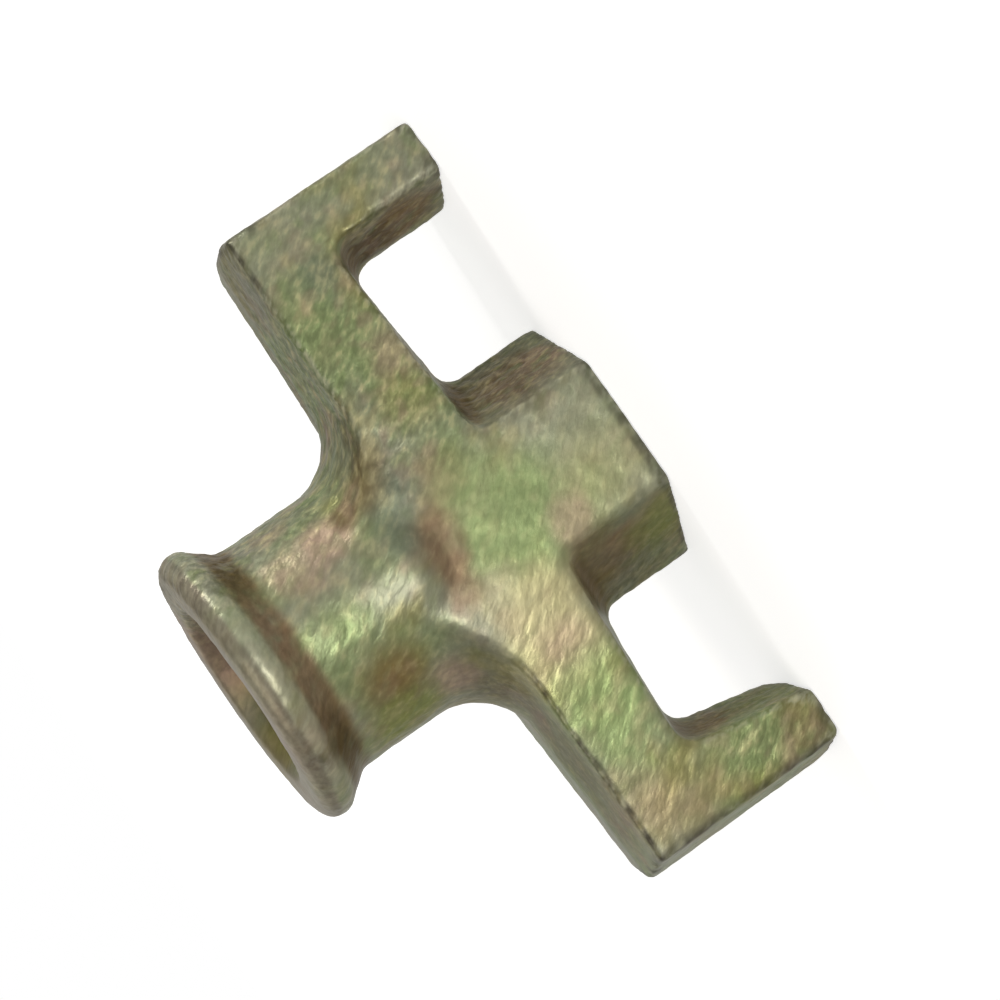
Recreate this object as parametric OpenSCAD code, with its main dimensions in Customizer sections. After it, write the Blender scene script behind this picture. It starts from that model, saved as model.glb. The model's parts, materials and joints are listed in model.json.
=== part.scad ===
// Formwork wing nut: one casting with a hexagonal spanner head, two hammer wings that
// bend down into prongs, and a flanged neck round the bore for a coarse tie-rod thread.
// The thread axis is Z.  The head and both prong ends stand on the ground at z = 0, and
// the flange face is uppermost.  The two halves of the mould part at y = 0, so every wall
// of the wings leans in from that plane towards the front and the back.

/* [Overall] */
// Height from the ground to the flange face
height = 56.6; // [50:0.2:64]
// Distance across both wings at the parting plane
span = 95; // [84:0.5:104]

/* [Head] */
// Width of the hexagonal head across its flats
head_af = 30; // [27:0.5:30.5]
// Radius where the head runs into the wings
head_fillet = 2.6; // [1:0.1:4]

/* [Neck and flange] */
// Diameter of the neck
neck_d = 31.8; // [30.5:0.1:34]
// Largest diameter of the flange
flange_d = 38.4; // [36.5:0.1:42]
// Height of the flange, from where the neck starts to flare to the flange face
flange_h = 7.5; // [6.5:0.1:9]
// Radius of the flange's rounded rim
rim_r = 2.6; // [1.5:0.1:3]
// Radius of the fillet from the neck down on to the wings
web_r = 8.8; // [5:0.1:9.5]
// How far the neck's foot swells beyond the neck's radius
foot_swell = 0.4; // [0.1:0.1:0.8]

/* [Bore] */
// Diameter of the bore at the root of the thread
bore_d = 17.6; // [16:0.1:20]
// Diameter of the flared mouth in the flange face
mouth_d = 25; // [22:0.2:28]
// Depth of the flared mouth
mouth_depth = 5.6; // [3:0.1:8]
// Size of the chamfer at the head's end of the bore
bore_chamfer = 0.8; // [0.4:0.1:1.5]

/* [Wings] */
// Height of the wings' upper side at the thread axis
wing_top = 29.9; // [27:0.1:32]
// Height of the wings' under side beside the head
wing_bottom = 13.6; // [12:0.1:15]
// Thickness of the prongs, front to back
prong_t = 20.8; // [18:0.1:24]
// Radius in the corner between wing and prong
root_fillet = 2.5; // [1.5:0.1:4]

/* [Mould taper] */
// Fall of the upper side for each millimetre out along a wing
top_taper = 0.035; // [0:0.005:0.05]
// Rise of the under side for each millimetre out along a wing
bottom_taper = 0.06; // [0:0.005:0.08]
// Draft of the wings' upper side, in degrees
top_draft = 5.3; // [2:0.1:8]
// Draft of the wings' under side, in degrees
bottom_draft = 10.8; // [4:0.1:13]
// Draft of a prong's outer wall, in degrees
outer_draft = 8.5; // [3:0.1:12]
// Draft of a prong's inner wall, in degrees
inner_draft = 16; // [6:0.1:19]

// Width of the flat land that the walls keep along the parting plane
land = 0.4; // [0.2:0.1:0.8]

/* [Right prong] */
// Width of the prong's end at the parting plane
right_prong_w = 12.1; // [9:0.1:14]
// How much wider the prong is at its root than at its end
right_prong_lean = 0.2; // [0:0.1:4]
// Radius of the wing's outer shoulder
right_shoulder_r = 2.8; // [0.3:0.1:4]
// Radius of the prong's end on its outer side
right_outer_r = 0.5; // [0.3:0.1:4]
// Radius of the prong's end on its inner side
right_inner_r = 0.5; // [0.3:0.1:4]

/* [Left prong] */
// Width of the prong's end at the parting plane
left_prong_w = 11.3; // [9:0.1:14]
// How much wider the prong is at its root than at its end
left_prong_lean = 2.8; // [0:0.1:4]
// Radius of the wing's outer shoulder
left_shoulder_r = 0.5; // [0.3:0.1:4]
// Radius of the prong's end on its outer side
left_outer_r = 2.1; // [0.3:0.1:4]
// Radius of the prong's end on its inner side
left_inner_r = 2.2; // [0.3:0.1:4]

/* [Hidden] */
cast_colour = [0.58, 0.60, 0.43];
round_fn = 96;
fillet_fn = 32;
overrun = 1;                            // how far a cutting shape runs past what it cuts
sink = 0.1;                             // how deep the neck's fillet starts inside what it joins
head_inset = 0.3;                       // how far the notch's inner wall lies inside the head
half_span = span / 2;
head_r = head_af / 2 / cos(30);         // from the axis to a corner of the head
flat_half = head_r / 2;                 // half the length of one flat
neck_r = neck_d / 2;
flange_r = flange_d / 2;
flange_z = height - flange_h;
waist_z = flange_z + flange_h * 0.3;    // where the flare turns steeper
prong_half = prong_t / 2;
front_reach = half_span - prong_half * tan(outer_draft);
notch_depth = head_af / 2 + overrun;
foot_rise = 3.9;                        // from the hub's upper edge to the swell at the neck's foot
foot_ease = 5;                          // height over which the swell dies out, above and below
web_rings = 9;
web_turns = 72;

// Height of the wings' upper side over a point of the plan
function top_z(x, y) = wing_top - top_taper * abs(x) - tan(top_draft) * abs(y);

// Height of the wings' under side at the parting plane
function bottom_z(x) = wing_bottom + bottom_taper * (x - head_r);

// Stands a shape drawn in the plan of x and z upright at the depth y
module upright(y, t) translate([0, y + t / 2, 0]) rotate([90, 0, 0]) linear_extrude(t) children();

// The plan of the wings: level with the head's flats at the hub, thinner at the prongs
module wing_plan() {
    half = [[flat_half, head_af / 2], [front_reach, prong_half], [half_span, land / 2],
            [half_span, -land / 2], [front_reach, -prong_half], [flat_half, -head_af / 2]];
    polygon(concat(half, [for (p = half) -p]));
}

// One wing and its prong as a full block, its upper side drafted both ways
module wing_block() {
    intersection() {
        linear_extrude(height) wing_plan();
        hull() {
            for (y = [-notch_depth, 0, notch_depth])
                upright(y, land)
                    polygon([[0, 0], [0, top_z(0, y)], [half_span, top_z(half_span, y)], [half_span, 0]]);
        }
    }
}

// Outline of the gap between head and prong at a distance y from the parting plane
module notch_outline(y, prong_w, lean) {
    inner = head_r - head_inset - y * tan(30);
    outer = half_span - prong_w + y * tan(inner_draft);
    rise = y * tan(bottom_draft);
    translate([inner + head_fillet, bottom_z(head_r) + rise - head_fillet])
        circle(head_fillet, $fn = fillet_fn);
    translate([outer - lean - root_fillet, bottom_z(outer - lean) + rise - root_fillet])
        circle(root_fillet, $fn = fillet_fn);
    translate([inner, -overrun]) square([outer - inner, land]);
}

// The gap between head and prong, opening out from the parting plane
module notch(side, prong_w, lean) {
    hull() {
        upright(0, land) notch_outline(0, prong_w, lean);
        upright(side * notch_depth, land) notch_outline(notch_depth, prong_w, lean);
    }
}

// What rounding off a corner at x, z takes away; dx and dz are 1 or -1 and point out of the corner
module corner_cut(x, z, r, dx, dz) {
    upright(0, 2 * notch_depth)
        translate([x - dx * r, z - dz * r])
            difference() {
                translate([dx > 0 ? 0 : -r - overrun, dz > 0 ? 0 : -r - overrun]) square(r + overrun);
                circle(r, $fn = fillet_fn);
            }
}

// One wing with its prong, pointing along +X
module wing(prong_w, lean, shoulder_r, outer_r, inner_r) {
    difference() {
        wing_block();
        for (side = [-1, 1]) notch(side, prong_w, lean);
        corner_cut(half_span, top_z(half_span, 0), shoulder_r, 1, 1);
        corner_cut(half_span, 0, outer_r, 1, -1);
        corner_cut(half_span - prong_w, 0, inner_r, -1, -1);
    }
}

// The fillet from the neck on to the wings: rings that follow the wings' drafted upper side
module neck_web() {
    ring_a = [for (i = [0 : web_rings]) 90 * i / web_rings];
    function at(r, turn) = [r * cos(turn), r * sin(turn)];
    function ring(r, rise) = [for (k = [0 : web_turns - 1]) let (p = at(r, 360 * k / web_turns))
        [p.x, p.y, top_z(p.x, p.y) + rise]];
    function level(r, z) = [for (k = [0 : web_turns - 1]) let (p = at(r, 360 * k / web_turns)) [p.x, p.y, z]];
    rings = concat(
        [level(neck_r - sink + web_r, wing_bottom + web_r)],
        [for (a = ring_a) ring(neck_r - sink + web_r * (1 - sin(a)), web_r * (1 - cos(a)) - sink)],
        [level(neck_r - overrun, wing_top + web_r + overrun)]);
    n = web_turns;
    last = len(rings) - 1;
    sides = [for (j = [0 : last - 1], k = [0 : n - 1])
        [j * n + k, (j + 1) * n + k, (j + 1) * n + (k + 1) % n, j * n + (k + 1) % n]];
    intersection() {
        polyhedron(
            [for (r = rings) for (p = r) p],
            concat([[for (k = [0 : n - 1]) k]], sides, [[for (k = [n - 1 : -1 : 0]) last * n + k]]));
        linear_extrude(height) wing_plan();
    }
}

// The hexagonal head, with a corner to each wing
module head() cylinder(r = head_r, h = wing_bottom + head_fillet + overrun, $fn = 6);

// Neck and flange as one turned profile, swollen a little at its foot and eased on to the hub
module neck() {
    hub_r = head_af / 2;
    foot_z = top_z(0, hub_r) + foot_rise;
    foot_r = neck_r + foot_swell;
    ease_slope = foot_ease / (foot_r - hub_r);
    rotate_extrude($fn = round_fn) {
        polygon([
            [0, wing_bottom], [hub_r - overrun, wing_bottom], [hub_r - overrun, foot_z - foot_ease - overrun * ease_slope],
            [foot_r, foot_z], [neck_r, foot_z + foot_ease], [neck_r, flange_z],
            [neck_r + (flange_r - neck_r) * 0.55, waist_z],
            [flange_r, height - rim_r], [flange_r - rim_r, height], [0, height]]);
        translate([flange_r - rim_r, height - rim_r]) circle(rim_r, $fn = round_fn);
    }
}

// The plain bore, flared in the flange face and chamfered at the head
module bore() {
    bore_r = bore_d / 2;
    translate([0, 0, -overrun]) cylinder(r = bore_r, h = height + 2 * overrun, $fn = round_fn);
    translate([0, 0, height - mouth_depth])
        cylinder(r1 = bore_r, r2 = mouth_d / 2, h = mouth_depth, $fn = round_fn);
    cylinder(r1 = bore_r + bore_chamfer, r2 = bore_r, h = bore_chamfer, $fn = round_fn);
}

module wing_nut() {
    color(cast_colour)
        difference() {
            union() {
                head();
                neck();
                neck_web();
                wing(right_prong_w, right_prong_lean, right_shoulder_r, right_outer_r, right_inner_r);
                mirror([1, 0, 0])
                    wing(left_prong_w, left_prong_lean, left_shoulder_r, left_outer_r, left_inner_r);
            }
            bore();
        }
}

wing_nut();
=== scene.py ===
# %% [markdown]
# # A formwork wing nut, dressed in cast iron and yellow zinc
#
# This nut screws on to the coarse thread of a tie rod and presses an anchor plate against
# concrete formwork.  It is cast in one piece: a hexagonal spanner head, two wings to strike
# with a hammer, and a neck that ends in a flange.  The imported model already holds its true
# shape and size.  What is missing is everything that the foundry and the plating bath leave
# behind: soft edges, a sandy skin, the ribs of the thread and the mottled chromate.
#
# The imported model is loaded first and never moved.  Its box is noted here.

# %% Load the frame
import json
import math

import bmesh
import bpy
from mathutils import Matrix, Vector


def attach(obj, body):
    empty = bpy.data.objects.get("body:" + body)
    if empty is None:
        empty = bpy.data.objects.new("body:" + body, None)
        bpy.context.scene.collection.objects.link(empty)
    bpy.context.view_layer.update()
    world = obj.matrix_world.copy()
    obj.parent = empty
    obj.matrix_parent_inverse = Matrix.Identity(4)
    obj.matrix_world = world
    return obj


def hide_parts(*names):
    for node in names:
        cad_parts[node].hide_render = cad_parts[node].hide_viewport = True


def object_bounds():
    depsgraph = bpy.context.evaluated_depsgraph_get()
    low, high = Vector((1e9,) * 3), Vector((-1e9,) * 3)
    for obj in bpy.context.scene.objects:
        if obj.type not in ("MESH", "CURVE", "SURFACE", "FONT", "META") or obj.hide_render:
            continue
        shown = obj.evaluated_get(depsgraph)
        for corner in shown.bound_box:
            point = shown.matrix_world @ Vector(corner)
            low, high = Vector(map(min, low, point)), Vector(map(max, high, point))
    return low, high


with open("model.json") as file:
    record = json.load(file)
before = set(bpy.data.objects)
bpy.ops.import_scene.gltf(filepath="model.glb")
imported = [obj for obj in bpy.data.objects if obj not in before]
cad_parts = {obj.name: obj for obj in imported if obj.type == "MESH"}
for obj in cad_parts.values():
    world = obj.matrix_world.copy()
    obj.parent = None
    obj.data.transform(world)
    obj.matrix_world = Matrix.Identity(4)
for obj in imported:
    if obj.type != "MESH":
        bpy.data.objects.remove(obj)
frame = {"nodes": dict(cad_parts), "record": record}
cad_box = [list(corner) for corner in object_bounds()]
low, high = (Vector(corner) for corner in cad_box)
packed_nut = frame["nodes"]["wing_nut"]
mounts = {mount["name"]: mount for mount in frame["record"]["mounts"]}
MM = 0.001
print("nut size in mm:", [round((b - a) / MM, 1) for a, b in zip(low, high)])

# %% [markdown]
# ## The camera
#
# A long lens nearly half a metre away shows the nut with hardly any perspective.  The camera
# stands a little above the wings and a little to the left, and it is rolled, so that the nut
# seems to lie on the slant with its flange towards the lower left.  It could be placed by a
# matrix, but three angles, a distance and a lens are what a photographer would change, so it
# is built from those.

# %% Camera
CAMERA_AZIMUTH = math.radians(-3.33)
CAMERA_ELEVATION = math.radians(10.42)
CAMERA_ROLL = math.radians(-124.68)
CAMERA_DISTANCE = 449.25 * MM
CAMERA_LENS = 130.25
CAMERA_CLIP = 10 * MM
AIM_POINT = Vector((1.6, 0, 16.0)) * MM


def direction(azimuth, elevation):
    """The unit vector from the nut towards something at that azimuth and elevation."""
    flat = math.cos(elevation)
    return Vector((math.sin(azimuth) * flat, -math.cos(azimuth) * flat, math.sin(elevation)))


def looking(back, roll=0.0):
    """The rotation of a camera or lamp whose back points along a unit vector."""
    turn = back.to_track_quat("Z", "Y").to_matrix()
    return (turn @ Matrix.Rotation(roll, 3, "Z")).to_4x4()


def add_camera():
    """The scene's camera, at its distance from the aim point."""
    camera = bpy.data.objects.new("camera", bpy.data.cameras.new("camera"))
    bpy.context.scene.collection.objects.link(camera)
    back = direction(CAMERA_AZIMUTH, CAMERA_ELEVATION)
    stand = Matrix.Translation(AIM_POINT + back * CAMERA_DISTANCE)
    camera.matrix_world = stand @ looking(back, CAMERA_ROLL)
    camera.data.lens = CAMERA_LENS
    camera.data.clip_start = CAMERA_CLIP
    bpy.context.scene.camera = camera
    return camera


camera = add_camera()
print("camera at", [round(x, 3) for x in camera.location])

# %% [markdown]
# ## Shader arithmetic
#
# A material is a graph, but most of it is arithmetic: this noise times that mask, one minus
# the other.  Written as nodes and links it takes pages.  The small class below wraps one
# output socket and gives it the usual operators, so the graph can be written as formulas.
# Every node comes from one function that takes its type, its settings and its inputs.

# %% Socket wrapper
class Value:
    """An output socket of a node tree, with arithmetic that adds Math nodes."""

    def __init__(self, tree, socket):
        self.tree = tree
        self.socket = socket

    def math(self, operation, *others):
        return add_node(self.tree, "ShaderNodeMath", {"operation": operation}, [self, *others])

    def __add__(self, other):
        return self.math("ADD", other)

    def __mul__(self, other):
        return self.math("MULTIPLY", other)

    def __sub__(self, other):
        return self.math("SUBTRACT", other)

    def __rsub__(self, other):
        return add_node(self.tree, "ShaderNodeMath", {"operation": "SUBTRACT"}, [other, self])

    def __rtruediv__(self, other):
        return add_node(self.tree, "ShaderNodeMath", {"operation": "DIVIDE"}, [other, self])

    __radd__ = __add__
    __rmul__ = __mul__

    def between(self, start, end):
        """0 before start, 1 past end and a soft step in between; start may be the larger."""
        settings = {"interpolation_type": "SMOOTHSTEP"}
        return add_node(self.tree, "ShaderNodeMapRange", settings, [self, start, end, 0.0, 1.0])

    def across(self, stretch):
        """The same soft step across a stretch of millimetres, written as (start, end)."""
        return self.between(stretch[0] * MM, stretch[1] * MM)


def add_node(tree, kind, settings=None, inputs=(), output=0):
    """Adds a node, sets its settings first and its sockets after, and wraps one output."""
    new = tree.nodes.new(kind)
    for name, value in (settings or {}).items():
        setattr(new, name, value)
    named = inputs.items() if isinstance(inputs, dict) else enumerate(inputs)
    for key, value in named:
        if isinstance(value, Value):
            tree.links.new(value.socket, new.inputs[key])
        elif value is not None:
            new.inputs[key].default_value = value
    return Value(tree, new.outputs[output])


def split(vector, axes):
    """The chosen parts of a vector, such as those along X and Z for "XZ"."""
    return [add_node(vector.tree, "ShaderNodeSeparateXYZ", {}, [vector], output=axis) for axis in axes]


def largest(first, *others):
    """The largest of several values at each point."""
    for other in others:
        first = first.math("MAXIMUM", other)
    return first


print("shader arithmetic is ready")

# %% Colours and materials
# A Mix node has sockets for several kinds of data; these are the numbers of those for colours
MIX_FACTOR, MIX_FIRST, MIX_SECOND, MIX_RESULT = 0, 6, 7, 2
WHITE = (1, 1, 1, 1)


def colour(red, green, blue):
    """A colour in the 0 to 255 steps of a paint chart, as the linear values a shader wants."""
    steps = (red / 255, green / 255, blue / 255)
    linear = [s / 12.92 if s <= 0.04045 else ((s + 0.055) / 1.055) ** 2.4 for s in steps]
    return (*linear, 1.0)


def mix(tree, factor, first, second, blend="MIX"):
    """Mixes two colours by a factor, in the sockets that a Mix node keeps for colours."""
    settings = {"data_type": "RGBA", "blend_type": blend}
    inputs = {MIX_FACTOR: factor, MIX_FIRST: first, MIX_SECOND: second}
    return add_node(tree, "ShaderNodeMix", settings, inputs, MIX_RESULT)


def new_material(name):
    """A material with an empty node tree."""
    material = bpy.data.materials.new(name)
    material.use_nodes = True
    material.node_tree.nodes.clear()
    return material, material.node_tree


def end_in_output(tree, kind, surface):
    """Ends a tree in an output node of that kind."""
    output = tree.nodes.new(kind)
    tree.links.new(surface.socket, output.inputs["Surface"])


print("middle grey of a paint chart, as a shader wants it:", round(colour(128, 128, 128)[0], 3))

# %% [markdown]
# ## The floor
#
# The nut stands on a pale floor with its head and both prong ends down, and to the camera
# the floor is all but white.  Brighter lamps could whiten it, but they would wash the nut out
# too.  So a light path tells the rays that show the backdrop from those that light the nut,
# and for the first kind the floor mixes a glow into its shaded look.  Near the nut the glow
# is weaker, so that a faint shadow stays.

# %% Floor
FLOOR_HALF = 1.5
FLOOR_GREY = (0.9, 0.9, 0.9, 1)
FLOOR_GLOW = 3.1
FLOOR_SHARE = 0.3  # of the glow in what the camera sees; the rest is the shaded look
SHADOW_DIP = 0.8  # what the glow loses near the nut
SHADOW_REACH = 0.12
SHADOW_END = 0.5


def seen_as_backdrop(tree):
    """1 for a ray that shows the backdrop: straight to the camera, mirrored, or through glass."""
    kinds = ("Is Camera Ray", "Is Glossy Ray", "Is Transmission Ray")
    return largest(*(add_node(tree, "ShaderNodeLightPath", output=kind) for kind in kinds))


def floor_material():
    """White paper that glows a little, and less within reach of the nut's shadow."""
    material, tree = new_material("floor_white")
    shaded = add_node(tree, "ShaderNodeBsdfDiffuse", {}, {"Color": FLOOR_GREY})
    place = add_node(tree, "ShaderNodeTexCoord", {}, output="Object")
    away = add_node(tree, "ShaderNodeVectorMath", {"operation": "LENGTH"}, [place], "Value")
    glow = FLOOR_GLOW - SHADOW_DIP * away.between(SHADOW_END, SHADOW_REACH)
    white = add_node(tree, "ShaderNodeEmission", {}, {"Color": WHITE, "Strength": glow})
    share = seen_as_backdrop(tree) * FLOOR_SHARE
    both = add_node(tree, "ShaderNodeMixShader", {}, [share, shaded, white])
    end_in_output(tree, "ShaderNodeOutputMaterial", both)
    return material


def add_floor():
    """A square of floor under the nut."""
    half = FLOOR_HALF
    mesh = bpy.data.meshes.new("floor")
    corners = [(-half, -half, 0), (half, -half, 0), (half, half, 0), (-half, half, 0)]
    mesh.from_pydata(corners, [], [(0, 1, 2, 3)])
    mesh.materials.append(floor_material())
    floor = bpy.data.objects.new("floor", mesh)
    floor.location.z = low.z
    bpy.context.scene.collection.objects.link(floor)


add_floor()
print("floor of", 2 * FLOOR_HALF, "m at z =", round(low.z, 4))

# %% [markdown]
# ## The room
#
# The world does two jobs.  As a backdrop it is plain white, apart from the ceiling, which is
# darker in mirrored rays, so that the nut's upper sides don't turn chalky.  As a light it is
# weak and a little warm, and stronger behind the nut, where no low lamp stands.

# %% Room
ROOM_TINT = (1, 0.98, 0.9, 1)
ROOM_LIGHT = 0.12
LIGHT_BEHIND = 0.45
BEHIND = (0.1, 0.6)  # parts of a unit vector: how far it points behind the nut
CEILING = (0.15, 0.5)  # and how far it points upwards
CEILING_DIM = 0.5


def add_room():
    """The world, with its light in one shader and its backdrop in another."""
    world = bpy.data.worlds.new("studio")
    bpy.context.scene.world = world
    world.use_nodes = True
    tree = world.node_tree
    tree.nodes.clear()
    sky = add_node(tree, "ShaderNodeTexCoord", output="Generated")
    back, up = split(sky, "YZ")
    level = ROOM_LIGHT + back.between(*BEHIND) * LIGHT_BEHIND
    ambient = add_node(tree, "ShaderNodeBackground", {}, {"Color": ROOM_TINT, "Strength": level})
    mirrored = add_node(tree, "ShaderNodeLightPath", output="Is Glossy Ray")
    white = 1.0 - mirrored * up.between(*CEILING) * CEILING_DIM
    backdrop = add_node(tree, "ShaderNodeBackground", {}, {"Color": WHITE, "Strength": white})
    both = add_node(tree, "ShaderNodeMixShader", {}, [seen_as_backdrop(tree), ambient, backdrop])
    end_in_output(tree, "ShaderNodeOutputWorld", both)
    return world


print("world:", add_room().name)

# %% [markdown]
# ## The lamps
#
# A skin with a soft sheen shows the size of each lamp in its highlights.  One large softbox
# would give the round neck a broad, dull shine, and a bare bulb would give it a spark.  So the
# key is a small lamp, low in front, which draws one bright line down the neck.  A second low
# lamp lights the faces that look to the right.  A large warm lamp above and another large one
# behind light the upper sides, where a highlight should be too wide to notice.

# %% Lamps
def add_softbox(name, azimuth, elevation, distance, size, power, tint=(1, 1, 1)):
    """A square area lamp that looks at the middle of the nut."""
    data = bpy.data.lights.new(name, "AREA")
    data.size = size
    data.energy = power
    data.color = tint
    lamp = bpy.data.objects.new(name, data)
    lamp.visible_camera = False
    back = direction(math.radians(azimuth), math.radians(elevation))
    middle = (low + high) / 2
    lamp.matrix_world = Matrix.Translation(middle + back * distance) @ looking(back)
    bpy.context.scene.collection.objects.link(lamp)


add_softbox("key", azimuth=-4.5, elevation=2, distance=0.5, size=0.11, power=1.2)
add_softbox("fill", azimuth=75, elevation=10, distance=0.8, size=0.13, power=3.2)
add_softbox("top", azimuth=-20, elevation=62, distance=0.8, size=0.5, power=1.6, tint=(1, 0.92, 0.84))
add_softbox("back", azimuth=190, elevation=40, distance=0.8, size=0.5, power=1.0)
bpy.context.scene.view_settings.view_transform = "Standard"
print("lamps:", [lamp.name for lamp in bpy.data.lights])

# %% [markdown]
# ## The rope thread
#
# The rod's thread is a coarse rope thread with a pitch of 10 mm, cast and not cut, so its
# ribs are broad, low and rounded.  It could be drawn turn by turn, but a rib that follows a
# helix is exactly what Geometry Nodes are for: a spiral curve sweeps a low trapezoid.  Its
# foot stands slightly inside the wall of the bore, so that the two melt into one skin later.

# %% Node tree helpers
def new_tree(name, sockets):
    """A Geometry Nodes tree with named inputs (name, socket type, default) and a mesh output."""
    tree = bpy.data.node_groups.new(name, "GeometryNodeTree")
    tree.interface.new_socket("Geometry", in_out="INPUT", socket_type="NodeSocketGeometry")
    for label, kind, default in sockets:
        socket = tree.interface.new_socket(label, in_out="INPUT", socket_type=kind)
        socket.default_value = default
    tree.interface.new_socket("Geometry", in_out="OUTPUT", socket_type="NodeSocketGeometry")
    entry = tree.nodes.new("NodeGroupInput")
    inputs = {socket.name: Value(tree, socket) for socket in entry.outputs if socket.name}
    return tree, inputs


def finish_tree(tree, geometry, material=None):
    """Ends a tree in Realize Instances and Set Material."""
    whole = add_node(tree, "GeometryNodeRealizeInstances", {}, [geometry])
    dressed = add_node(tree, "GeometryNodeSetMaterial", {}, {"Geometry": whole, "Material": material})
    leave = tree.nodes.new("NodeGroupOutput")
    tree.links.new(dressed.socket, leave.inputs[0])


def run_tree(piece, tree, values):
    """Adds a tree as a modifier and sets its inputs by their identifiers."""
    modifier = piece.modifiers.new(tree.name, "NODES")
    modifier.node_group = tree
    for item in tree.interface.items_tree:
        if item.in_out == "INPUT" and item.name in values:
            modifier[item.identifier] = values[item.name]


def mesh_of(piece):
    """The evaluated piece as a plain mesh; its modifiers are removed."""
    depsgraph = bpy.context.evaluated_depsgraph_get()
    mesh = bpy.data.meshes.new_from_object(piece.evaluated_get(depsgraph))
    piece.modifiers.clear()
    return mesh


print("node tree helpers are ready")

# %% Thread tree
THREAD_PITCH = 10 * MM
RIB_DEPTH = 0.95 * MM
RIB_FOOT = 6.4 * MM
RIB_CREST = 4.2 * MM
RIB_SUNK = 0.3 * MM
STEPS_PER_TURN = 72


def thread_tree():
    """A rib with the outline of a low trapezoid, swept along a right-hand helix."""
    length = "NodeSocketFloat"
    tree, given = new_tree("rope_thread", [
        ("Turns", length, 4.0),
        ("Pitch", length, THREAD_PITCH),
        ("Radius", length, 8 * MM),
        ("Rib depth", length, RIB_DEPTH),
        ("Rib foot", length, RIB_FOOT),
        ("Rib crest", length, RIB_CREST),
    ])
    helix = add_node(tree, "GeometryNodeCurveSpiral", {}, {
        "Resolution": STEPS_PER_TURN, "Rotations": given["Turns"],
        "Start Radius": given["Radius"], "End Radius": given["Radius"],
        "Height": given["Pitch"] * given["Turns"], "Reverse": True})
    helix = add_node(tree, "GeometryNodeSetCurveNormal", {"mode": "Z_UP"}, {"Curve": helix})
    outline = add_node(tree, "GeometryNodeCurvePrimitiveQuadrilateral", {"mode": "TRAPEZOID"}, {
        "Height": given["Rib depth"], "Bottom Width": given["Rib foot"],
        "Top Width": given["Rib crest"], "Offset": 0.0})
    outline = add_node(tree, "GeometryNodeTransform", {}, {
        "Geometry": outline, "Rotation": (0, 0, math.radians(90))})
    rib = add_node(tree, "GeometryNodeCurveToMesh", {}, {
        "Curve": helix, "Profile Curve": outline, "Fill Caps": True})
    finish_tree(tree, rib)
    return tree


rope_thread = thread_tree()
print("tree:", rope_thread.name, "with", len(rope_thread.nodes), "nodes")

# %% Thread
bore_mount = mounts["thread_bore"]
BORE_RADIUS = bore_mount["dims"]["r_mm"] * MM
BORE_LENGTH = bore_mount["dims"]["length_mm"] * MM
BORE_MIDDLE = bore_mount["pos_m"][2]


def make_thread():
    """The rib of the thread along the plain part of the bore, as a closed mesh."""
    carrier = bpy.data.objects.new("thread_rib", bpy.data.meshes.new("thread_rib"))
    bpy.context.scene.collection.objects.link(carrier)
    free_length = BORE_LENGTH - RIB_FOOT
    run_tree(carrier, rope_thread, {
        "Turns": free_length / THREAD_PITCH,
        "Pitch": THREAD_PITCH,
        "Radius": BORE_RADIUS + RIB_SUNK - (RIB_DEPTH + RIB_SUNK) / 2,
        "Rib depth": RIB_DEPTH + RIB_SUNK,
        "Rib foot": RIB_FOOT,
        "Rib crest": RIB_CREST,
    })
    mesh = mesh_of(carrier)
    mesh.transform(Matrix.Translation((0, 0, BORE_MIDDLE - free_length / 2)))
    bpy.data.objects.remove(carrier)
    return mesh


thread = make_thread()
radii = [math.hypot(v.co.x, v.co.y) / MM for v in thread.vertices]
heights = [v.co.z / MM for v in thread.vertices]
print("thread radii in mm:", round(min(radii), 2), "to", round(max(radii), 2))
print("thread heights in mm:", round(min(heights), 1), "to", round(max(heights), 1))

# %% [markdown]
# ## The casting
#
# A casting has no sharp edge and no true plane: the sand gives it round corners, a slight
# swell and a grain.  Bevels could round the edges one by one, but where the neck flares into
# the wings there are no clean edges to bevel.  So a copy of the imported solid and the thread's
# rib are joined, covered with one even skin of small faces by a voxel remesh, and a Geometry
# Nodes tree relaxes that skin until its corners are round, then lifts and sinks it by noise.
#
# The sand wasn't equally coarse all over the mould.  The function below says how coarse it
# was at each place, in mm along X and up Z, and the finish asks it too.

# %% Sandy places
LEFT_WING = (8, 20)
LEFT_PRONG = (16, 10)
RIGHT_WING = (4, 16)
RIGHT_INNER = (38, 30)
NECK_START = (31, 36)
NECK_END = (53, 50)
LEFT_WING_SAND = 0.25
RIGHT_WING_SAND = 0.9
RIGHT_INNER_SAND = 0.7
NECK_SAND = 0.5


def sandiness(x, z):
    """0 on the smooth head and rim, and 1 or more where the skin is coarse."""
    prong = LEFT_WING_SAND + (1 - LEFT_WING_SAND) * z.across(LEFT_PRONG)
    left = (x * -1.0).across(LEFT_WING) * prong
    right = x.across(RIGHT_WING) * (RIGHT_WING_SAND + RIGHT_INNER_SAND * x.across(RIGHT_INNER))
    neck = NECK_SAND * z.across(NECK_START) * z.across(NECK_END)
    return largest(left, right, neck)


print("sand on the left and right wing:", LEFT_WING_SAND, RIGHT_WING_SAND + RIGHT_INNER_SAND)
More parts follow.
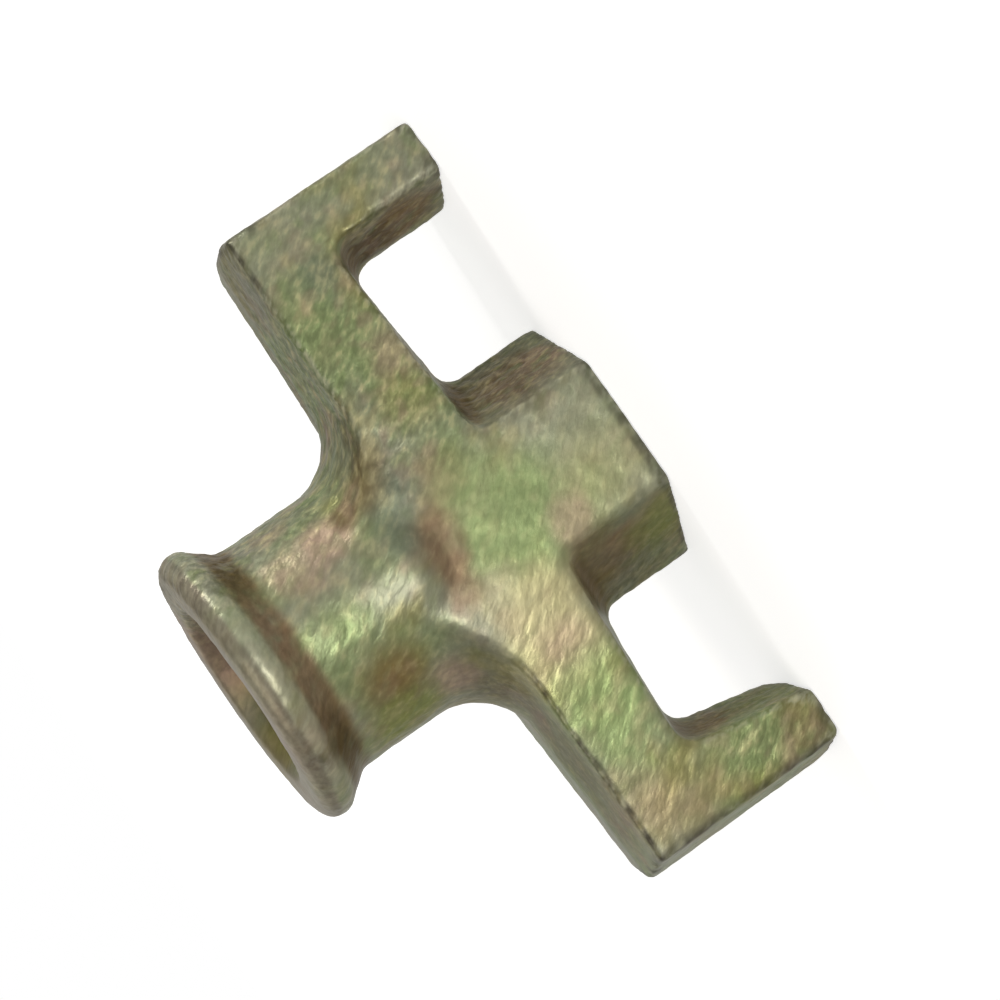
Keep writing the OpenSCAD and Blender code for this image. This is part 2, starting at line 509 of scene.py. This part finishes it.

# %% [markdown]
# ## Knocked and shaded edges
#
# In the plating barrel the nuts knock together, and that wears the film off what stands
# proud: the wings' upper and outer edges, the flange's rim and the ends of the prongs.  The
# dark that the finish puts there is partly that wear and partly painted shade, on edges and
# ends that turn away from the low lamps.  An edge can be found in a skin without edges.  A
# point that lies outside the average of its wider surroundings is on an edge, and one that
# lies inside is in a hollow.  The skin tree stores that difference as relief, in mm, and this
# function says which edges are painted dark.

# %% Knocked and shaded places
LEFT_DARKENED = (14, 22)
RIGHT_DARKENED = (34, 42)
OUTER_WALL = (44, 46.5)
SHOULDER = (20, 24)
BELOW_FLANGE = (48, 42)
RIM_START = (54.2, 54.6)
RIM_END = (55.5, 55.0)
FEET = (2.4, 1.2)
RIM_KNOCKS_AND_SHADE = 0.4
FEET_KNOCKS_AND_SHADE = 0.7


def knocked_and_shaded_places(x, z, rise):
    """1 on the edges painted dark, as wear and as painted shade; rise is how far the skin faces upwards."""
    left = (x * -1.0).across(LEFT_DARKENED)
    # Upper edges that face partly upwards turn away from the low lamps: their dark is painted shade as well
    # as wear
    slanting = rise.between(0.12, 0.35) * rise.between(0.95, 0.8)
    upper = slanting * z.across(BELOW_FLANGE) * largest(left, x.across(RIGHT_DARKENED))
    rim = RIM_KNOCKS_AND_SHADE * z.across(RIM_START) * z.across(RIM_END)
    outer = x.math("ABSOLUTE").across(OUTER_WALL) * largest(left, z.across(SHOULDER))
    # The low ends of head and prongs: dark as wear and as painted shade
    feet = FEET_KNOCKS_AND_SHADE * z.across(FEET)
    return largest(upper, rim, outer, feet)


# The edges named here are painted dark, partly as wear and partly as painted shade
print("knocked: the wings' upper sides and outer walls, the rim and the feet")

# %% Skin tree
GRAIN_TURN = math.radians(51.5)
GRAIN_ALONG = (math.cos(GRAIN_TURN), 0.0, -math.sin(GRAIN_TURN))
LOW_ENDS = (7, 4)
PAST_LEFT_PRONG = (-32, -24)
CRISPNESS = 0.7  # how much less the ends of head and right prong are rounded than the left one's
RUBBED_RELIEF = (0.2, 0.42)
EDGE_RELIEF = (0.15, 0.5)
SWELL_LEVEL = 0.62  # the noise that leaves the skin in its place; most of it is lower and sinks
GRAIN_LEVEL = 0.6
SMOOTH_GRAIN = 0.45
SANDY_GRAIN = 0.55
EDGE_GRAIN = 0.2


def cast_skin_tree():
    """Rounds a skin, stores its relief and the edges to be painted dark, and moves it by swell and grain.
    """
    number, whole, vector = "NodeSocketFloat", "NodeSocketInt", "NodeSocketVector"
    tree, given = new_tree("cast_skin", [
        ("Rounding", whole, 5),
        ("Relief reach", whole, 40),
        ("Swell", number, 0.13 * MM),
        ("Swell size", number, 6 * MM),
        ("Grain", number, 0.2 * MM),
        ("Grain size", number, 1.3 * MM),
        ("Grain stretch", number, 2.0),
        ("Seed", number, 3.0),
        ("Low corner", vector, (-1, -1, -1)),
        ("High corner", vector, (1, 1, 1)),
    ])

    def vector_math(operation, *inputs, output=0):
        return add_node(tree, "ShaderNodeVectorMath", {"operation": operation}, inputs, output)

    def scaled(arrow, factor):
        inputs = {"Vector": arrow, "Scale": factor}
        return add_node(tree, "ShaderNodeVectorMath", {"operation": "SCALE"}, inputs)

    def blurred(field, turns, weight=1.0):
        return add_node(tree, "GeometryNodeBlurAttribute", {"data_type": "FLOAT_VECTOR"}, {
            "Value": field, "Iterations": turns, "Weight": weight})

    def moved_to(skin, position):
        return add_node(tree, "GeometryNodeSetPosition", {}, {"Geometry": skin, "Position": position})

    def stored(skin, name, field):
        settings = {"data_type": "FLOAT", "domain": "POINT"}
        return add_node(tree, "GeometryNodeStoreNamedAttribute", settings, {
            "Geometry": skin, "Name": name, "Value": field})

    def noise(size, detail, seed, stretch):
        """Noise about size wide, and stretch times as long along the grain."""
        along = vector_math("DOT_PRODUCT", place, GRAIN_ALONG, output=1) * (1 - 1 / stretch)
        drawn = vector_math("SUBTRACT", place, scaled(GRAIN_ALONG, along))
        return add_node(tree, "ShaderNodeTexNoise", {"noise_dimensions": "4D"}, {
            "Vector": scaled(drawn, 1 / size), "W": seed, "Scale": 1.0, "Detail": detail, "Roughness": 0.5})

    place = add_node(tree, "GeometryNodeInputPosition")
    normal = add_node(tree, "GeometryNodeInputNormal")
    x, z = split(place, "XZ")
    rise = split(normal, "Z")[0]

    crisp = z.across(LOW_ENDS) * x.across(PAST_LEFT_PRONG)
    rounded = blurred(place, given["Rounding"], 1.0 - CRISPNESS * crisp)
    skin = moved_to(given["Geometry"], rounded)

    around = vector_math("SUBTRACT", place, blurred(place, given["Relief reach"]))
    relief = vector_math("DOT_PRODUCT", around, normal, output=1) * (1 / MM)
    skin = stored(skin, "relief", relief)
    # The edges to be painted dark, as wear and as painted shade
    skin = stored(skin, "knocked_and_shaded_edge", knocked_and_shaded_places(x, z, rise) * relief.between(*RUBBED_RELIEF))

    swell = noise(given["Swell size"], 1.5, given["Seed"], 1.0) - SWELL_LEVEL
    grain = noise(given["Grain size"], 2.5, given["Seed"] + 10.0, given["Grain stretch"]) - GRAIN_LEVEL
    coarse = SMOOTH_GRAIN + SANDY_GRAIN * sandiness(x, z) + EDGE_GRAIN * relief.between(*EDGE_RELIEF)
    lift = swell * given["Swell"] * 2.0 + grain * 2.0 * given["Grain"] * coarse
    lifted = vector_math("ADD", place, scaled(normal, lift))
    lifted = vector_math("MAXIMUM", lifted, given["Low corner"])
    lifted = vector_math("MINIMUM", lifted, given["High corner"])
    finish_tree(tree, moved_to(skin, lifted))
    return tree


cast_skin = cast_skin_tree()
print("tree:", cast_skin.name, "with", len(cast_skin.nodes), "nodes")

# %% Casting
VOXEL = 0.47 * MM
SAME_PLACE = 0.002 * MM


def make_casting():
    """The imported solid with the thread's rib, under one rounded and grained skin."""
    depsgraph = bpy.context.evaluated_depsgraph_get()
    mesh = bpy.data.meshes.new_from_object(packed_nut.evaluated_get(depsgraph))
    both = bmesh.new()
    both.from_mesh(mesh)
    bmesh.ops.remove_doubles(both, verts=both.verts, dist=SAME_PLACE)
    both.from_mesh(thread)
    both.to_mesh(mesh)
    both.free()
    casting = bpy.data.objects.new("nut_casting", mesh)
    bpy.context.scene.collection.objects.link(casting)
    remesh = casting.modifiers.new("skin", "REMESH")
    remesh.mode = "VOXEL"
    remesh.voxel_size = VOXEL
    run_tree(casting, cast_skin, {"Low corner": list(low), "High corner": list(high)})
    casting.data = mesh_of(casting)
    casting.data.name = "nut_casting"
    casting.data.shade_smooth()
    return casting


casting = make_casting()
print("faces of the casting:", len(casting.data.polygons))

# %% [markdown]
# ## Yellow zinc
#
# The casting is electroplated with zinc and dipped in a chromate bath.  The chromate film is
# thinner than a wavelength of light in places, so its colour wanders: green, olive, straw and
# a dull pink lie side by side in patches a few millimetres wide.  Over the sandy skin it has a
# soft sheen, not a mirror's.  The hollows are painted brown, partly as the bath's stain and
# partly as painted shade.  Edges that knock together in the plating barrel are rubbed grey, or
# dark where the iron shows, and that dark is also painted shade on edges turned from the
# lamps.  The rim's bead carries a painted highlight and the flange's face a painted reflection.
#
# A painted picture wrapped round the nut could hold all that, but it would blur close up and
# stretch where the surface curves.  Here the colours are worked out at each point instead,
# from noises of five sizes, the relief stored on the skin, and a list of marks.

# %% Film colours and painted light
FILM_GREEN = colour(109, 122, 80)
FILM_LEAF = colour(121, 136, 88)
FILM_OLIVE = colour(119, 112, 57)
FILM_GREY = colour(124, 124, 105)
FILM_BLUE = colour(92, 99, 84)
FILM_MOSS = colour(111, 115, 60)
FILM_PINK = colour(145, 121, 105)
FILM_STRAW = colour(157, 148, 110)
# Rust of the film, also used as painted shade on facets and flanks turned from the lamps
RUST_FILM_AND_SHADE = colour(113, 91, 56)
# Plum of the film, also used as painted shade in a crease and under the flange
PLUM_FILM_AND_SHADE = colour(106, 86, 66)
# Brown of the bath, also painted shade in hollows, creases, under the flange and on sides turned from the
# lamps
BATH_BROWN_AND_SHADE = colour(84, 68, 38)
# A painted reflection: the pale taupe that the flange's upward face shows at a grazing view
TAUPE_REFLECTION = colour(132, 121, 104)
# Grey of rubbed ridges, also a painted highlight on the rim's bead
RUBBED_GREY_AND_HIGHLIGHT = colour(156, 156, 136)
# Dark of bare iron, also painted shade on edges turned from the lamps
BARE_IRON_AND_SHADE = colour(58, 54, 48)
print("green of the film, as the shader wants it:", [round(part, 3) for part in FILM_GREEN[:3]])

# %% [markdown]
# ## Marks of the bath, and painted shade
#
# Noise alone would give every part of the nut the same mixture.  On a real casting the film
# depends on how the piece hung, drained and dried, so larger marks of one colour stay in
# certain places.  Some marks are painted shade as well as film: rust, plum and brown on the
# facets and flanks that the lamps leave dark, along creases and on the left wing's upper side.
# A taupe mark on the rim is a painted reflection.  A mark here is a ragged ball round a
# centre, and the list is written for the front of the nut.

# %% Marks
# Where one colour of the film, or of painted shade, is strongest: centre in mm, reach in mm, colour,
# strength
BATH_AND_SHADE_MARKS = [
    ((41, -11, 5), 8, FILM_GREY, 0.6),
    ((44, -11, 23), 7, FILM_GREY, 0.5),
    ((35, -11, 20), 4, FILM_BLUE, 0.7),
    # The right prong's inner flank, turned from the lamps: rust and brown, partly film and partly painted
    # shade
    ((37, -5, 7), 6.5, RUST_FILM_AND_SHADE, 0.9),
    ((36.5, -4, 13), 5, BATH_BROWN_AND_SHADE, 1.0),
    ((28, -12, 24), 9, FILM_GREEN, 0.7),
    ((23, -13, 18), 4, FILM_PINK, 0.5),
    ((17, -14, 21), 4, FILM_OLIVE, 0.4),
    ((7, -15, 23), 4.5, RUST_FILM_AND_SHADE, 0.4),
    ((0, -15, 18), 9, FILM_GREEN, 0.9),
    ((6, -15, 4), 9, FILM_GREY, 0.7),
    ((-3, -15, 6), 6, FILM_STRAW, 0.3),
    ((-6, -15, 13), 3.5, FILM_PINK, 0.5),
    # Plum along the crease where the neck rises from the head: partly film, partly painted shade in the
    # crease
    ((5, -15, 28.4), 3, PLUM_FILM_AND_SHADE, 0.6),
    ((1.5, -15, 27.8), 3.4, PLUM_FILM_AND_SHADE, 0.8),
    ((-2, -15, 28.2), 3.2, PLUM_FILM_AND_SHADE, 0.9),
    ((-5.7, -15, 28.6), 2.8, PLUM_FILM_AND_SHADE, 0.7),
    ((8.5, -15, 30), 4.5, FILM_BLUE, 0.8),
    ((4, -15.5, 31.5), 3, FILM_BLUE, 0.6),
    ((5, -15, 39), 4, FILM_GREY, 0.5),
    ((9, -13, 38), 4, FILM_PINK, 0.8),
    ((11.5, -13.5, 32), 4.2, RUST_FILM_AND_SHADE, 0.6),
    ((10.1, -12.4, 35), 2.6, BATH_BROWN_AND_SHADE, 0.8),
    ((8, -14, 44), 4, FILM_PINK, 0.5),
    ((-3, -16, 46), 6, FILM_GREEN, 0.7),
    ((-10, -13, 41), 5.5, RUST_FILM_AND_SHADE, 0.8),
    ((-14, -8, 42), 6, FILM_MOSS, 0.9),
    ((-13, -9, 34), 4, FILM_PINK, 0.6),
    ((-9, -15, 25), 4, FILM_STRAW, 0.4),
    ((-18, -14, 23), 8, FILM_STRAW, 0.8),
    ((-18, -14, 22), 4, FILM_PINK, 0.5),
    ((-26, -12, 22), 8, FILM_LEAF, 0.8),
    ((-39, -11, 25), 6, FILM_STRAW, 0.3),
    ((-41, -11, 20), 6, FILM_OLIVE, 0.5),
    ((-40, -11, 24), 5, FILM_PINK, 0.3),
    ((-46, -10, 12), 4, FILM_OLIVE, 0.6),
    ((-42, -11, 3), 5, RUST_FILM_AND_SHADE, 0.5),
    ((-36.5, -6, 12), 6, RUST_FILM_AND_SHADE, 0.8),
    ((-37, -5, 5), 5, FILM_MOSS, 0.8),
    ((-40, -11, 10), 5, FILM_GREEN, 0.8),
    # Rust on the head's left facet: partly film, partly painted shade on a facet turned from the lamps
    ((-13, -9, 12), 7, RUST_FILM_AND_SHADE, 0.6),
    ((-11, -12, 20), 5, FILM_STRAW, 0.9),
    ((-12, -8, 2), 6, FILM_MOSS, 0.8),
    # Plum on the head's right facet: partly film, partly painted shade
    ((13, -8, 8), 8, PLUM_FILM_AND_SHADE, 0.8),
    # Brown on the left wing's upper side: painted shade, as that side gets less light than the right one
    ((-19, -7, 29), 6, BATH_BROWN_AND_SHADE, 0.5),
    ((-28, -6, 28.5), 7, BATH_BROWN_AND_SHADE, 0.5),
    ((-37, -6, 28.5), 7, BATH_BROWN_AND_SHADE, 0.4),
    # Brown by the right wing's upper edge near the neck: painted shade in the concave corner
    ((14.4, -13.4, 29.6), 3, BATH_BROWN_AND_SHADE, 0.7),
    ((18, -11.5, 29), 2.5, BATH_BROWN_AND_SHADE, 0.5),
    ((11.5, -14.5, 55), 2.6, BARE_IRON_AND_SHADE, 0.7),
    # Taupe on the front of the rim: a painted reflection
    ((-4, -18.5, 54), 6, TAUPE_REFLECTION, 0.5),
    ((-12, -15, 53.5), 6, PLUM_FILM_AND_SHADE, 0.7),
    ((-12.4, -13.4, 55), 2.2, BARE_IRON_AND_SHADE, 0.7),
    ((-5, -9, 54), 8, FILM_PINK, 0.8),
    ((8, -9, 54), 6, FILM_OLIVE, 0.8),
]
print(len(BATH_AND_SHADE_MARKS), "marks of the bath")

# %% [markdown]
# ## What the finish knows of a place
#
# Every layer of the finish asks the same questions: where is this point, how sandy is it, is
# it on an edge or in a hollow, and is it on an edge that is painted dark, as wear and as
# painted shade?  So the answers are gathered once, together with noises of five sizes.  The
# finer ones are drawn out along one direction, as the blasting left the grain.

# %% Skin
class Skin:
    """What the finish knows of a point of the skin."""

    def __init__(self, tree):
        self.place = add_node(tree, "ShaderNodeTexCoord", {}, output="Object")
        self.x, self.y, self.z = split(self.place, "XYZ")
        self.sandy = sandiness(self.x, self.z)
        self.relief = add_node(tree, "ShaderNodeAttribute", {"attribute_name": "relief"}, output="Fac")
        # The edges painted dark, partly as wear and partly as painted shade
        self.rubbed = add_node(tree, "ShaderNodeAttribute", {"attribute_name": "knocked_and_shaded_edge"}, output="Fac")
        self.broad = self.noise(16 * MM, detail=2.0, seed=1.0)
        self.middle = self.noise(8 * MM, detail=3.0, seed=2.0, stretch=1.4)
        self.spot = self.noise(2.8 * MM, detail=1.5, seed=5.0, stretch=1.4)
        self.small = self.noise(2.2 * MM, detail=2.0, seed=3.0, stretch=1.8)
        self.streak = self.noise(0.8 * MM, detail=2.0, seed=4.0, stretch=2.2)

    def noise(self, size, detail, seed, stretch=1.0):
        """A noise whose patches are about size wide, and stretch times as long."""
        tree = self.place.tree
        turned = add_node(tree, "ShaderNodeMapping", {"vector_type": "TEXTURE"}, {
            "Vector": self.place, "Rotation": (0, GRAIN_TURN, 0), "Scale": (size * stretch, size, size)})
        return add_node(tree, "ShaderNodeTexNoise", {"noise_dimensions": "4D"}, {
            "Vector": turned, "W": seed, "Scale": 1.0, "Detail": detail, "Roughness": 0.5})


print("grain drawn out at", round(math.degrees(GRAIN_TURN), 1), "degrees")

# %% [markdown]
# ## The film
#
# The broad and the middle noise mix four colours.  Then each mark lays its own colour over
# them, fading out raggedly because noise is added to the distance from its centre.  The back
# of the nut wears the same marks turned half round the thread's axis.  The two halves meet at
# a fold that wanders about the parting plane, and the marks fade out there, so that no seam
# shows.  Rust and brown, as film and as painted shade, are made matt, so where they are is
# handed on.

# %% Film
# A pair says at which noise a colour starts to show and at which it is full
GREY_PATCHES = (0.35, 0.65)
OLIVE_PATCHES = (0.50, 0.70)
PINK_PATCHES = (0.46, 0.28)
PATCH_STRENGTH = 0.6
FOLD_WANDER = 8 * MM
FOLD_FADE = (0.0, 1.5)
MARK_EDGE = (2.1, 1.2)
RAGGED_BY_MIDDLE = 1.2
RAGGED_BY_SMALL = 0.5
MATT_COLOURS = (RUST_FILM_AND_SHADE, BATH_BROWN_AND_SHADE)


def front_place(tree, skin):
    """Places on the back turned half round to the front, and 0 at the fold between them."""
    behind = skin.y + (skin.middle - 0.5) * FOLD_WANDER
    side = 1.0 - 2.0 * behind.math("GREATER_THAN", 0.0)
    folded = add_node(tree, "ShaderNodeCombineXYZ", {}, [skin.x * side, skin.y * side, skin.z])
    return folded, behind.math("ABSOLUTE").across(FOLD_FADE)


def marked_film(tree, skin):
    """The film's colour with the marks, painted shade among them, and 1 where it is matt."""
    film = mix(tree, skin.broad.between(*GREY_PATCHES), FILM_GREEN, FILM_GREY)
    film = mix(tree, skin.middle.between(*OLIVE_PATCHES) * PATCH_STRENGTH, film, FILM_OLIVE)
    film = mix(tree, skin.middle.between(*PINK_PATCHES) * PATCH_STRENGTH, film, FILM_PINK)
    folded, off_the_fold = front_place(tree, skin)
    matt_patches = []
    for centre, reach, tint, strength in BATH_AND_SHADE_MARKS:
        away = add_node(tree, "ShaderNodeVectorMath", {"operation": "DISTANCE"}, [
            folded, [c * MM for c in centre]], "Value")
        away = away * (1 / (reach * MM))
        ragged = away + skin.middle * RAGGED_BY_MIDDLE + skin.small * RAGGED_BY_SMALL
        patch = ragged.between(*MARK_EDGE) * off_the_fold * strength
        film = mix(tree, patch, film, tint)
        if tint in MATT_COLOURS:
            matt_patches.append(patch)
    return film, largest(*matt_patches)


print("matt marks:", sum(tint in MATT_COLOURS for _, _, tint, _ in BATH_AND_SHADE_MARKS))

# %% [markdown]
# ## Flecks
#
# Seen close, each patch of the film is itself speckled, because every grain of the skin holds
# the bath a little differently.  A much finer noise in the film's own mixture could do it,
# but it would speckle the smooth head as strongly as the wings.  Laid on as a layer of its
# own, the flecks can be stronger where the skin is sandy.

# %% Flecks
STRAW_FLECKS = (0.52, 0.72)
GREEN_FLECKS = (0.48, 0.30)
PINK_FLECKS = (0.52, 0.68)
STRAW_STREAKS = (0.52, 0.70)
FLECKS_ANYWHERE = 0.16
FLECKS_ON_SAND = 0.26
FAINTER = 0.6


def flecked_film(tree, skin, film):
    """The film with flecks a few millimetres wide and less."""
    fleck = FLECKS_ANYWHERE + FLECKS_ON_SAND * skin.sandy
    film = mix(tree, skin.small.between(*STRAW_FLECKS) * fleck, film, FILM_STRAW)
    film = mix(tree, skin.small.between(*GREEN_FLECKS) * fleck, film, FILM_GREEN)
    film = mix(tree, skin.spot.between(*PINK_FLECKS) * fleck * FAINTER, film, FILM_PINK)
    return mix(tree, skin.streak.between(*STRAW_STREAKS) * fleck * FAINTER, film, FILM_STRAW)


sandiest = RIGHT_WING_SAND + RIGHT_INNER_SAND
print("flecks on the sandiest skin:", round(FLECKS_ANYWHERE + FLECKS_ON_SAND * sandiest, 2))

# %% [markdown]
# ## Stains, wear and painted light
#
# The hollows and the concave flare under the flange's rim are painted brown, partly as the
# bath's stain and partly as painted shade, and the flare darker towards its sides.  A band on
# the rim's bead is painted light grey, a painted highlight with some wear, and the flange's
# upward face is painted taupe as a painted reflection.  What stands proud is rubbed grey, and
# the knocked edges are painted dark, partly where the film and the zinc are gone and the iron
# shows and partly as painted shade.  At the end the finest noise lightens and darkens
# everything a little, more so where the skin is sandy.

# %% Stains and painted light
# Places in mm: up Z, out along X or out from the thread's axis, and the depth of a hollow
FLARE_START = (47.4, 49.0)
FLARE_END = (52.6, 51.2)
FLARE_SIDES = (5, 12)
RIM_UP = (51.6, 52.4)
RIM_OUT = (16, 17)
FACE_UP = (54.2, 55.0)
FACE_OUT = (11.5, 13)
HOLLOW_DEPTH = (0.10, 0.45)
FLARE_STAIN_AND_SHADE = 0.5
HOLLOW_STAIN_AND_SHADE = 0.45
STAIN_AND_SHADE_BY_MIDDLE = 0.7
RIM_RUB_AND_HIGHLIGHT = 0.35
FACE_REFLECTION = 0.7


def stained_and_shaded_film(tree, skin, film):
    """The film with brown and painted shade in hollows and under the flange, and painted light on the rim.
    """
    # Brown in the flare under the rim: partly the bath's stain, partly painted shade, darker towards the
    # sides
    flare = skin.z.across(FLARE_START) * skin.z.across(FLARE_END) * skin.small.between(0.1, 0.6)
    drained_and_shaded = mix(tree, skin.x.math("ABSOLUTE").across(FLARE_SIDES), PLUM_FILM_AND_SHADE, BATH_BROWN_AND_SHADE)
    film = mix(tree, flare * (FLARE_STAIN_AND_SHADE + STAIN_AND_SHADE_BY_MIDDLE * skin.middle), film, drained_and_shaded)
    # Brown in the hollows: partly the bath's stain, partly painted shade
    hollow = (skin.relief * -1.0).between(*HOLLOW_DEPTH)
    film = mix(tree, hollow * (HOLLOW_STAIN_AND_SHADE + STAIN_AND_SHADE_BY_MIDDLE * skin.middle), film, BATH_BROWN_AND_SHADE)
    out = (skin.x * skin.x + skin.y * skin.y).math("SQRT")
    # A light grey band on the rim's bead: a painted highlight, with some wear
    rim = skin.z.across(RIM_UP) * out.across(RIM_OUT)
    film = mix(tree, rim * skin.small.between(0.3, 0.6) * RIM_RUB_AND_HIGHLIGHT, film, RUBBED_GREY_AND_HIGHLIGHT)
    # Taupe on the flange's upward face: a painted reflection of the bright room above
    face = skin.z.across(FACE_UP) * out.across(FACE_OUT)
    return mix(tree, face * skin.middle.between(0.2, 0.6) * FACE_REFLECTION, film, TAUPE_REFLECTION)


print("brown under the flange from", FLARE_START[0], "to", FLARE_END[0], "mm up")

# %% Wear and painted shade
RIDGE_HEIGHT = (0.30, 0.8)
RIDGE_RUB = 0.6
EDGE_RUB_AND_SHADE = 0.85
STREAK_DARK = (0.75, 0.75, 0.75, 1)
STREAK_LIGHT = (1.22, 1.22, 1.22, 1)


def sand_share(skin):
    """Half on smooth skin, and the whole where it is sandy."""
    return 0.5 + 0.5 * skin.sandy


def worn_and_shaded_film(tree, skin, film):
    """The film rubbed grey on ridges, painted dark on knocked edges as wear and painted shade, and streaked
    light and dark.
    """
    ridge = skin.relief.between(*RIDGE_HEIGHT)
    film = mix(tree, ridge * skin.streak.between(0.4, 0.6) * RIDGE_RUB, film, RUBBED_GREY_AND_HIGHLIGHT)
    # Knocked edges painted dark: bare iron in part, and painted shade on edges turned from the lamps
    film = mix(tree, skin.rubbed * skin.small.between(0.35, 0.65) * EDGE_RUB_AND_SHADE, film, BARE_IRON_AND_SHADE)
    light = 0.5 + (skin.streak.between(0.25, 0.75) - 0.5) * sand_share(skin)
    streaks = mix(tree, light, STREAK_DARK, STREAK_LIGHT)
    return mix(tree, 1.0, film, streaks, "MULTIPLY")


print("ridges are rubbed from", RIDGE_HEIGHT[0], "mm of relief")

# %% [markdown]
# ## The plating
#
# Zinc under a chromate film is neither clean metal nor paint, and its shine is broad.  A
# metal's shader and a paint's could be mixed, but one Principled shader with Metallic about
# half way gives much the same look.  Where the film is matt it is less metallic and rougher.
# The grain that is too fine for the mesh comes from a bump.

# %% Plating
METALLIC = 0.45
MATT_METALLIC_LOSS = 0.25
SHEEN_ROUGHNESS = 0.28
PATCH_ROUGHNESS = 0.2
MATT_ROUGHNESS = 0.18
EDGE_ON_SHINE = 0.25
EDGE_ON_TINT = (0.42, 0.4, 0.37, 1)
BUMP_DEPTH = 0.2 * MM
BUMP_BY_STREAK = 0.6
BUMP_BY_SMALL = 0.8


def plating_material():
    """Iron under yellow zinc, with the film's layers and its painted light and shade, in the order laid on.
    """
    material, tree = new_material("yellow_zinc_on_iron")
    skin = Skin(tree)
    film, matt = marked_film(tree, skin)
    film = flecked_film(tree, skin, film)
    film = stained_and_shaded_film(tree, skin, film)
    film = worn_and_shaded_film(tree, skin, film)
    height = (BUMP_BY_STREAK * skin.streak + BUMP_BY_SMALL * skin.small) * sand_share(skin)
    bump = add_node(tree, "ShaderNodeBump", {}, {"Height": height, "Strength": 1.0, "Distance": BUMP_DEPTH})
    plated = add_node(tree, "ShaderNodeBsdfPrincipled", {}, {
        "Base Color": film,
        "Metallic": METALLIC - MATT_METALLIC_LOSS * matt,
        "Roughness": SHEEN_ROUGHNESS + PATCH_ROUGHNESS * skin.small + MATT_ROUGHNESS * matt,
        "Specular IOR Level": EDGE_ON_SHINE,
        "Specular Tint": EDGE_ON_TINT,
        "Normal": bump,
    })
    end_in_output(tree, "ShaderNodeOutputMaterial", plated)
    return material


casting.data.materials.clear()
casting.data.materials.append(plating_material())
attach(casting, "root")
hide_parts("wing_nut")
print("materials:", [m.name for m in casting.data.materials])
